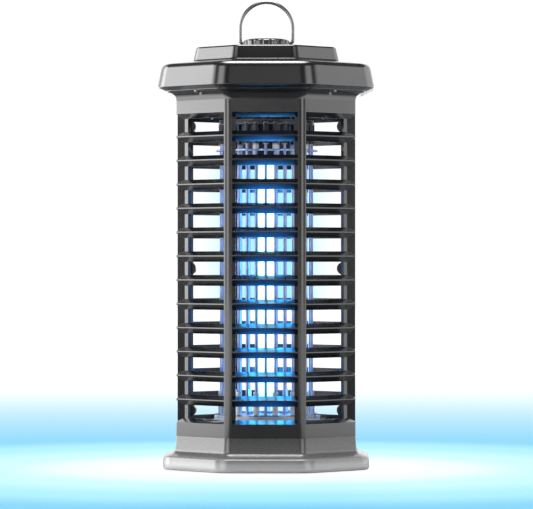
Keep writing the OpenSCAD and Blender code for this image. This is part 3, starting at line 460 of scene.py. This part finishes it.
# Roof. A shell in the same ABS that overhangs the cage as eaves, steps up into a crown and
# is held by four screws from below. The cord's bush goes through a round pad at the back.
roof_bm = bmesh.new()
loft(roof_bm, [
    (52.4, 7.5, 7.5, 328.5), (54.4, 8, 8, 318.9), (76.6, 16, 16, 315.6), (79.7, 18, 18, 313.4),
    (82.2, 19, 19, 301.3), (79, 17.5, 17.5, 300.01), (79, 17.5, 17.5, 297.31),
    (84.1, 21.5, 21.5, 299.41), (84.65, 21.85, 21.85, 299.65), (84.9, 22, 22, 299.95),
    (85, 22, 22, 300.41), (82.4, 21, 21, 313.6), (82.05, 20.8, 20.8, 314.9), (81.5, 20.4, 20.4, 316.1),
    (80.5, 20, 20, 317.3), (79.4, 19.4, 19.4, 317.95), (78.4, 18.8, 18.8, 318.3), (77, 18, 18, 318.6),
    (58.4, 11.4, 11.4, 321.1), (57.5, 10.5, 10.5, 321.4), (57.05, 10.1, 10.1, 322.2),
    (55.1, 9.5, 9.5, 330.5), (54.9, 9.3, 9.3, 331.1), (54.4, 9, 9, 331.75), (53.4, 8.5, 8.5, 332.11)])
for x in (-52.68, 52.68):
    for y in (-52.68, 52.68):
        lathe(roof_bm, [(1.6, 299.6), (4, 299.6), (4, 316.9), (1.6, 316.9), (1.6, 299.6)],
              Matrix.Translation((x * MM, y * MM, 0)), 32)
lathe(roof_bm, [(4.5, -0.2), (7.1, -0.2), (7.5, 0.2), (7.5, 5.8), (4.5, 5.8), (4.5, -0.2)],
      Matrix.Translation((0, 0.0838, 0.30816)) @ Matrix.Rotation(math.radians(90), 4, "X"), 48)
shown("roof", roof_bm, "housing", "housing", housing, "roof_shell")


# Cord bush. A rubber grommet snapped into the pad at the back of the roof; its flange sits on
# the outside and its groove grips the wall.
bush_bm = bmesh.new()
lathe(bush_bm, [(3.1, 0), (4.5, 0), (5.4, 1.2), (5.4, 2), (4.5, 2), (4.5, 8), (6.3, 8), (6.5, 8.2),
                (6.5, 8.6), (6.2, 9.1), (5.8, 9.4), (3.5, 9.4), (3.1, 9.0), (3.1, 0)],
      Matrix.Translation((0, 0.0756, 0.30816)) @ Matrix.Rotation(math.radians(-90), 4, "X"), 48)
shown("cord_bush", bush_bm, "housing", "rubber", rubber, "cord_gland")


# Hanger hub. A fluted black knob, screwed down from inside the crown, that holds the two ends
# of the bail.
FLUTES = 16
hub_bm = bmesh.new()
lathe(hub_bm, [(0, 332.11), (17.8, 332.11), (18.2, 332.4), (18.2, 335.2), (18.2, 337.4), (18.0, 338.0),
               (17.5, 338.5), (16.6, 339.1), (15.2, 339.55), (13.5, 339.61), (0, 339.61)], steps=FLUTES * 12)
for vert in hub_bm.verts:
    away = math.hypot(vert.co.x, vert.co.y) / MM
    if away > 14.5:
        pitch = 360 / FLUTES
        off = math.radians((math.degrees(math.atan2(vert.co.y, vert.co.x)) % pitch) - pitch / 2)
        beside = 19.3 * math.sin(off)
        if abs(beside) < 2.0:
            wall = 19.3 * math.cos(off) - math.sqrt(4.0 - beside * beside)
            shrink = min(1.0, wall / away)
            vert.co.x *= shrink
            vert.co.y *= shrink
shown("hanger_knob", hub_bm, "housing", "housing", housing, "hanger_hub")


# Bail. One length of spring-steel wire bent into a loop, plated dark, whose ends turn in and
# pivot in the hub.
def run_on(bm, edges, shift):
    made = bmesh.ops.extrude_edge_only(bm, edges=edges)["geom"]
    bmesh.ops.translate(bm, vec=shift, verts=[g for g in made if isinstance(g, bmesh.types.BMVert)])
    return [g for g in made if isinstance(g, bmesh.types.BMEdge) and all(v in made for v in g.verts)]


def bend_on(bm, edges, centre, angle, steps):
    made = bmesh.ops.spin(bm, geom=edges, cent=centre, axis=(0, 1, 0), dvec=(0, 0, 0), angle=angle,
                          steps=steps, use_merge=False)["geom_last"]
    return [g for g in made if isinstance(g, bmesh.types.BMEdge)]


bail_steel = finish("plated_wire", (0.16, 0.16, 0.17), (0.22, 0.22, 0.235), (0.24, 0.34),
                    bump=0.03, scale=900,
                    along=0.25, metal=0.95, wear=(0.3, 0.3, 0.32), wear_amount=0.2, dust=0.02, radius=0.0002)
bail_bm = bmesh.new()
PIVOT, BEND, BAIL_X, ARCH = 336.61, 2.0, 20.75, 348.11
start = bmesh.ops.create_circle(bail_bm, segments=20, radius=1.4 * MM,
                                matrix=Matrix.Translation((-12.5 * MM, 0, PIVOT * MM))
                                @ Matrix.Rotation(math.radians(90), 4, "Y"))
first = list({e for v in start["verts"] for e in v.link_edges})
edge_loop = run_on(bail_bm, first, ((12.5 - BAIL_X + BEND) * MM, 0, 0))
edge_loop = bend_on(bail_bm, edge_loop, ((BEND - BAIL_X) * MM, 0, (PIVOT + BEND) * MM), math.radians(90), 8)
edge_loop = run_on(bail_bm, edge_loop, (0, 0, (ARCH - PIVOT - BEND) * MM))
edge_loop = bend_on(bail_bm, edge_loop, (0, 0, ARCH * MM), math.radians(180), 48)
edge_loop = run_on(bail_bm, edge_loop, (0, 0, (PIVOT + BEND - ARCH) * MM))
edge_loop = bend_on(bail_bm, edge_loop, ((BAIL_X - BEND) * MM, 0, (PIVOT + BEND) * MM), math.radians(90), 8)
edge_loop = run_on(bail_bm, edge_loop, ((12.5 - BAIL_X + BEND) * MM, 0, 0))
bmesh.ops.contextual_create(bail_bm, geom=first)
bmesh.ops.contextual_create(bail_bm, geom=edge_loop)
bmesh.ops.remove_doubles(bail_bm, verts=bail_bm.verts, dist=1e-6)
shown("bail_loop", bail_bm, "bail", "bail_steel", bail_steel, "bail_handle")


# Screws. Zinc-plated pan-head self-tappers with a cross recess, for the roof, cage, deck and
# insulators.
screw_steel = finish("zinc_plate", (0.22, 0.22, 0.23), (0.34, 0.34, 0.36), (0.26, 0.42),
                     bump=0.12, scale=1800,
                     metal=1.0, wear=(0.3, 0.29, 0.28), wear_amount=0.4)
for node in ("hub_screws", "roof_screws", "cage_screws", "deck_screws", "insulator_screws",
             "lamp_holder_screws",
             "lower_insulator_screws"):
    nodes[node].data.materials.clear()
    nodes[node].data.materials.append(screw_steel)


def dress(material, *names):
    """Gives CAD nodes whose shape is right their finish."""
    for name in names:
        nodes[name].data.materials.clear()
        nodes[name].data.materials.append(material)


# Insulators. White glass-filled nylon: a flange with hanging pegs above, and a ring with
# standing pegs and four arms below, that hold the two sets of wires apart.
nylon = finish("white_nylon", (0.78, 0.8, 0.84), (0.9, 0.92, 0.95), (0.3, 0.45), bump=0.06, scale=1300,
               wear=(0.95, 0.95, 0.97), wear_amount=0.3, dust=0.08)
nylon.node_tree.nodes["Principled BSDF"].inputs["Subsurface Weight"].default_value = 0.15
nylon.node_tree.nodes["Principled BSDF"].inputs["Subsurface Scale"].default_value = 0.002
# The upper moulding is white nylon painted dark with shade, with painted highlights along its edges; only the
# tips of its pegs, down at the ring, are left white.
shaded_nylon = nylon.copy()
shaded_nylon.name = "nylon_painted_shade"
tree = shaded_nylon.node_tree
height = add_node(tree, "ShaderNodeSeparateXYZ")
tree.links.new(add_node(tree, "ShaderNodeTexCoord").outputs["Object"], height.inputs[0])
bsdf = tree.nodes["Principled BSDF"]
plain = bsdf.inputs["Base Color"].links[0].from_socket
flange = remap(tree, height.outputs["Z"], 0.2545, 0.2565)
# Painted highlight on the edges, painted shade on the flats.
painted_edge_highlight = placed(tree, edge_group, Radius=0.0006)["Mask"]
painted_shade_and_highlight = blend_colours(tree, painted_edge_highlight, (0.016, 0.02, 0.034), (0.75, 0.8, 0.9))
tree.links.new(blend_colours(tree, flange, plain, painted_shade_and_highlight), bsdf.inputs["Base Color"])
eased("insulator_top", "upper_insulator", "housing", "insulator", shaded_nylon, 0.2)
eased("insulator_foot", "lower_insulator", "housing", "insulator_lower", nylon, 0.25)


# Killing grid. Bright stainless wires in two sets of fifteen, one set on each stamped ring,
# set by turns round the lamp.
# The steel is tinted blue, a painted reflection of the lamp's blue light on the wires.
grid_steel = finish("stainless_painted_lamp_blue", (0.2, 0.25, 0.42), (0.32, 0.38, 0.58), (0.26, 0.4),
                    bump=0.03, scale=1500,
                    along=0.06, metal=1.0, wear=(0.8, 0.8, 0.85), wear_amount=0.25, dust=0.0)


def wire_set(bm, first_angle, low, highs):
    for i, high in enumerate(highs):
        angle = math.radians(first_angle + 24 * i)
        at = Matrix.Translation((36 * MM * math.cos(angle), 36 * MM * math.sin(angle), 0))
        lathe(bm, [(0, low), (0.8, low), (1.05, low + 0.12), (1.1, low + 0.4), (1.1, high - 0.5),
                   (0.95, high - 0.2), (0.6, high), (0, high)], at, 16)


standing_bm = bmesh.new()
wire_set(standing_bm, -90, 42.5, [258.51] * 15)
shown("wires_standing", standing_bm, "housing", "grid_steel", grid_steel, "return_wires")
live_low, live_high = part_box("live_wires")
hanging_bm = bmesh.new()
stub = live_high.z / MM
wire_set(hanging_bm, -78, live_low.z / MM, [stub if i % 2 == 0 else 251.71 for i in range(15)])
shown("wires_hanging", hanging_bm, "housing", "grid_steel", grid_steel, "live_wires")
eased("ring_top", "live_ring", "housing", "grid_steel", grid_steel, 0.15)
eased("ring_foot", "return_ring", "housing", "grid_steel", grid_steel, 0.15)


# Lamp. A U of two glass tubes coated inside, joined by a short bridge near the foot, glowing
# cyan-white, in a white cap with four brass pins. It pulls down out of its black holder.
glass, tree, bsdf = new_material("lit_glass")
glow = placed(tree, grain_group, Scale=240, Along=0.2)
height = add_node(tree, "ShaderNodeSeparateXYZ")
tree.links.new(add_node(tree, "ShaderNodeTexCoord").outputs["Object"], height.inputs[0])
lit = ramp(tree, remap(tree, height.outputs["Z"], 0.05, 0.26),
           [(0.0, (0.10, 0.42, 0.85)), (0.06, (0.16, 0.62, 1.0)), (0.2, (0.3, 0.8, 1.0)),
            (0.85, (0.3, 0.8, 1.0)),
            (0.95, (0.14, 0.55, 0.95)), (1.0, (0.06, 0.25, 0.6))], smooth=True)
lit = blend_colours(tree, math_node(tree, "MULTIPLY", glow["Mottle"], 0.15), lit, (0.5, 0.92, 1.0))
tree.links.new(lit, bsdf.inputs["Emission Color"])
bsdf.inputs["Emission Strength"].default_value = 4.0
tree.links.new(blend_colours(tree, glow["Mottle"], (0.75, 0.86, 0.9), (0.86, 0.94, 0.97)),
               bsdf.inputs["Base Color"])
tree.links.new(remap(tree, glow["Fine"], 0, 1, 0.05, 0.14), bsdf.inputs["Roughness"])
bsdf.inputs["Coat Weight"].default_value = 0.6
lamp_bm = bmesh.new()
for y in (-7.4, 7.4):
    lathe(lamp_bm, [(0, 50.5), (1.6, 50.7), (3.2, 51.4), (4.6, 52.5), (5.6, 54.1), (6.1, 55.8), (6.2, 57.5),
                    (6.2, 150), (6.2, 258.8), (5.3, 258.8), (5.3, 58), (0, 52)],
          Matrix.Translation((0, y * MM, 0)), 40)
lathe(lamp_bm, [(0, 0), (3.6, 0), (3.3, 1.2), (3.2, 2.4), (3.2, 12.4), (3.3, 13.6), (3.6, 14.8), (0, 14.8)],
      Matrix.Translation((0, -0.0074, 0.0645)) @ Matrix.Rotation(math.radians(-90), 4, "X"), 32)
shown("lamp_glass_tubes", lamp_bm, "lamp", "lamp_glass", glass, "lamp_tubes")
# The blue the phosphor throws out, as soft lights along the lamp's axis.
for i, z in enumerate((0.075, 0.12, 0.165, 0.21)):
    light = bpy.data.objects.new(f"lamp_spill_{i}", bpy.data.lights.new(f"lamp_spill_{i}", "POINT"))
    light.location = (0, 0, z)
    light.data.shadow_soft_size = 0.022
    light.data.color = (0.04, 0.38, 1.0)
    light.data.energy = 0.24
    light.visible_camera = False
    scene.collection.objects.link(light)
cap = finish("lamp_cap", (0.74, 0.75, 0.76), (0.85, 0.86, 0.87), (0.28, 0.42), bump=0.05, scale=1400,
             wear=(0.9, 0.9, 0.9), wear_amount=0.3)
eased("lamp_cap", "lamp_base", "lamp", "lamp_cap", cap, 0.4)
brass = finish("brass_pins", (0.62, 0.42, 0.14), (0.75, 0.54, 0.22), (0.2, 0.38), bump=0.1, scale=1600,
               metal=1.0, wear=(0.85, 0.7, 0.4), wear_amount=0.4, dust=0.0)
dress(brass, "lamp_pins")
phenolic = finish("black_phenolic", (0.012, 0.012, 0.013), (0.028, 0.028, 0.03), (0.32, 0.5),
                  bump=0.12, scale=1100,
                  coat=0.15, wear=(0.1, 0.1, 0.1), wear_amount=0.4)
eased("lamp_socket", "lamp_holder", "housing", "holder", phenolic, 0.3)


# Deck and electronics. A grey plate closes the roof above the cage and carries the
# high-voltage board, its transformer and the lamp's ballast.
deck = finish("deck_plate", (0.05, 0.05, 0.055), (0.08, 0.08, 0.085), (0.4, 0.6),
              bump=0.15, scale=1000, dust=0.15)
dress(deck, "deck_plate")
board, tree, bsdf = new_material("circuit_board")
weave = add_node(tree, "ShaderNodeTexBrick")
weave.inputs["Scale"].default_value = 240
weave.inputs["Color1"].default_value = (0.02, 0.13, 0.06, 1)
weave.inputs["Color2"].default_value = (0.025, 0.17, 0.075, 1)
weave.inputs["Mortar"].default_value = (0.05, 0.24, 0.11, 1)
weave.inputs["Mortar Size"].default_value = 0.03
tree.links.new(add_node(tree, "ShaderNodeTexCoord").outputs["Object"], weave.inputs["Vector"])
tree.links.new(weave.outputs["Color"], bsdf.inputs["Base Color"])
soldered = placed(tree, grain_group, Scale=700)
tree.links.new(remap(tree, soldered["Fine"], 0, 1, 0.25, 0.45), bsdf.inputs["Roughness"])
dress(board, "circuit_board")
dress(finish("board_posts", (0.7, 0.7, 0.68), (0.8, 0.8, 0.78), (0.4, 0.55)), "board_standoffs")
dress(finish("ferrite", (0.03, 0.03, 0.032), (0.07, 0.07, 0.072), (0.5, 0.75), bump=0.3, scale=1600,
             wear=(0.18, 0.18, 0.18)), "transformer_core")
core, tree, bsdf = new_material("core_laminations")
sheets = add_node(tree, "ShaderNodeTexWave", bands_direction="Y")
sheets.inputs["Scale"].default_value = 900
sheets.inputs["Distortion"].default_value = 0.4
tree.links.new(add_node(tree, "ShaderNodeTexCoord").outputs["Object"], sheets.inputs["Vector"])
tree.links.new(ramp(tree, sheets.outputs["Fac"], [(0, (0.12, 0.12, 0.13)), (1, (0.34, 0.34, 0.36))]),
               bsdf.inputs["Base Color"])
tree.links.new(remap(tree, sheets.outputs["Fac"], 0, 1, 0.55, 0.35), bsdf.inputs["Roughness"])
bsdf.inputs["Metallic"].default_value = 0.9
dress(core, "ballast_core")
tape, tree, bsdf = new_material("winding_tape")
wraps = add_node(tree, "ShaderNodeTexWave", bands_direction="Z")
wraps.inputs["Scale"].default_value = 160
wraps.inputs["Distortion"].default_value = 0.6
tree.links.new(add_node(tree, "ShaderNodeTexCoord").outputs["Object"], wraps.inputs["Vector"])
tree.links.new(ramp(tree, wraps.outputs["Fac"],
                    [(0, (0.5, 0.36, 0.06)), (0.8, (0.72, 0.56, 0.12)), (1, (0.8, 0.65, 0.2))]),
               bsdf.inputs["Base Color"])
tree.links.new(remap(tree, wraps.outputs["Fac"], 0, 1, 0.5, 0.25), bsdf.inputs["Roughness"])
dress(tape, "transformer_winding", "ballast_winding")
dress(finish("capacitor_epoxy", (0.05, 0.12, 0.35), (0.08, 0.17, 0.45), (0.2, 0.35), coat=0.4),
      "hv_capacitors")
dress(finish("resistor_body", (0.55, 0.42, 0.26), (0.66, 0.52, 0.34), (0.35, 0.5), bump=0.1),
      "bleed_resistor")
dress(finish("diode_body", (0.02, 0.02, 0.02), (0.05, 0.05, 0.05), (0.3, 0.5), bump=0.1), "rectifier_diodes")
dress(finish("terminal_nylon", (0.62, 0.63, 0.6), (0.75, 0.76, 0.72), (0.4, 0.55)),
      "terminal_block", "fuse_holder")
dress(finish("red_lead", (0.45, 0.02, 0.02), (0.6, 0.04, 0.03), (0.35, 0.5), scale=1200), "grid_leads")
dress(finish("white_lead", (0.7, 0.7, 0.68), (0.82, 0.82, 0.8), (0.35, 0.5), scale=1200), "lamp_leads")
